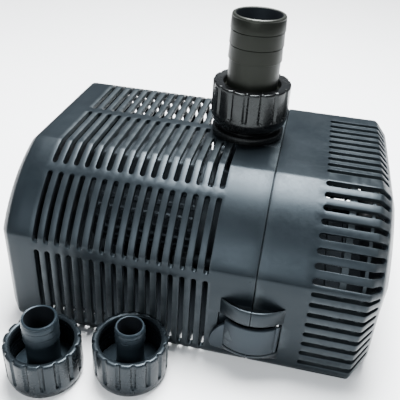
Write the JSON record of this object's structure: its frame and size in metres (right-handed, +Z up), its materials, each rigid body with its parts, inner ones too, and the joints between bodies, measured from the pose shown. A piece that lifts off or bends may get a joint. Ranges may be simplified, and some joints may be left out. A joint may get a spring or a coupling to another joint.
{
  "type": "fountain submersible pump",
  "caption": "Submersible fountain pump: slotted two-part cage round a magnetic-drive pump, top outlet with union nut and stepped hosetail, latches, spare hose fittings.",
  "frame": {"origin": "on the flat underside of the casing, half way along it, on its centre plane", "axes": "+X along the pump axis towards the suction end, +Z up, outlet axis parallel to Z"},
  "size_m": [0.2259, 0.2497, 0.178],
  "materials": {
    "casing": "satin moulded charcoal plastic",
    "latch": "satin moulded grey plastic",
    "nut": "glossy moulded black plastic",
    "hosetail": "satin olive-black plastic",
    "spare_tail": "satin slate plastic",
    "housing": "moulded black plastic",
    "resin": "potting resin",
    "rubber": "matte moulded rubber",
    "steel": "stainless steel",
    "copper": null,
    "lamination": "stacked steel laminations",
    "magnet": "sintered ferrite",
    "ceramic": "ground ceramic",
    "impeller": "moulded off-white plastic"
  },
  "bodies": {
    "pump": {"rear_cover": "casing", "volute_housing": "housing", "outlet_platform": "casing", "volute_cover": "housing", "volute_screw_1": "steel", "volute_screw_2": "steel", "volute_screw_3": "steel", "volute_screw_4": "steel", "volute_seal": "rubber", "motor_housing": "housing", "stator_core": "lamination", "stator_coil_front": "copper", "stator_coil_rear": "copper", "potting_cap": "resin", "rotor_can": "housing", "rotor_shaft": "ceramic", "rear_bearing": "ceramic", "front_bearing": "ceramic", "foot_damper_1": "rubber", "foot_damper_2": "rubber", "foot_damper_3": "rubber", "foot_damper_4": "rubber", "cable_gland": "rubber"},
    "front_cover": {"front_cover": "casing", "latch_pin_near": "steel", "latch_pin_far": "steel"},
    "latch_near": {"latch_near": "latch"},
    "latch_far": {"latch_far": "latch"},
    "rotor": {"rotor_magnet": "magnet", "impeller": "impeller"},
    "hosetail": {"hosetail": "hosetail", "hosetail_seal": "rubber"},
    "union_nut": {"union_nut": "nut"},
    "spare_nut_20": {"spare_nut_20": "nut"},
    "spare_tail_20": {"spare_tail_20": "spare_tail"},
    "spare_nut_16": {"spare_nut_16": "nut"},
    "spare_tail_16": {"spare_tail_16": "spare_tail"}
  },
  "joints": [
    {"name": "front_cover_slide", "type": "slide", "parent": "pump", "child": "front_cover", "axis": [1, 0, 0], "range_m": [0, 0.08]},
    {"name": "latch_near_hinge", "type": "hinge", "parent": "front_cover", "child": "latch_near", "pos_m": [0.0546, -0.0932, 0.025], "axis": [0, 0, 1], "range_deg": [0, 75]},
    {"name": "latch_far_hinge", "type": "hinge", "parent": "front_cover", "child": "latch_far", "pos_m": [0.0546, 0.0932, 0.025], "axis": [0, 0, -1], "range_deg": [0, 75]},
    {"name": "rotor_spin", "type": "hinge", "parent": "pump", "child": "rotor", "pos_m": [0, 0, 0.046], "axis": [1, 0, 0], "continuous": true},
    {"name": "hosetail_lift", "type": "slide", "parent": "pump", "child": "hosetail", "axis": [0, 0, 1], "range_m": [0, 0.05]},
    {"name": "union_nut_turn", "type": "hinge", "parent": "hosetail", "child": "union_nut", "pos_m": [0.017, 0, 0.125], "axis": [0, 0, 1], "continuous": true},
    {"name": "spare_20_lift", "type": "slide", "parent": "pump", "child": "spare_nut_20", "axis": [0, 0, 1], "range_m": [0, 0.03]},
    {"name": "spare_20_turn", "type": "hinge", "parent": "spare_nut_20", "child": "spare_tail_20", "pos_m": [-0.0695, -0.1275, 0.0125], "axis": [0, 0, 1], "continuous": true},
    {"name": "spare_16_lift", "type": "slide", "parent": "pump", "child": "spare_nut_16", "axis": [0, 0, 1], "range_m": [0, 0.03]},
    {"name": "spare_16_turn", "type": "hinge", "parent": "spare_nut_16", "child": "spare_tail_16", "pos_m": [-0.0235, -0.1142, 0.0125], "axis": [0, 0, 1], "continuous": true}
  ]
}
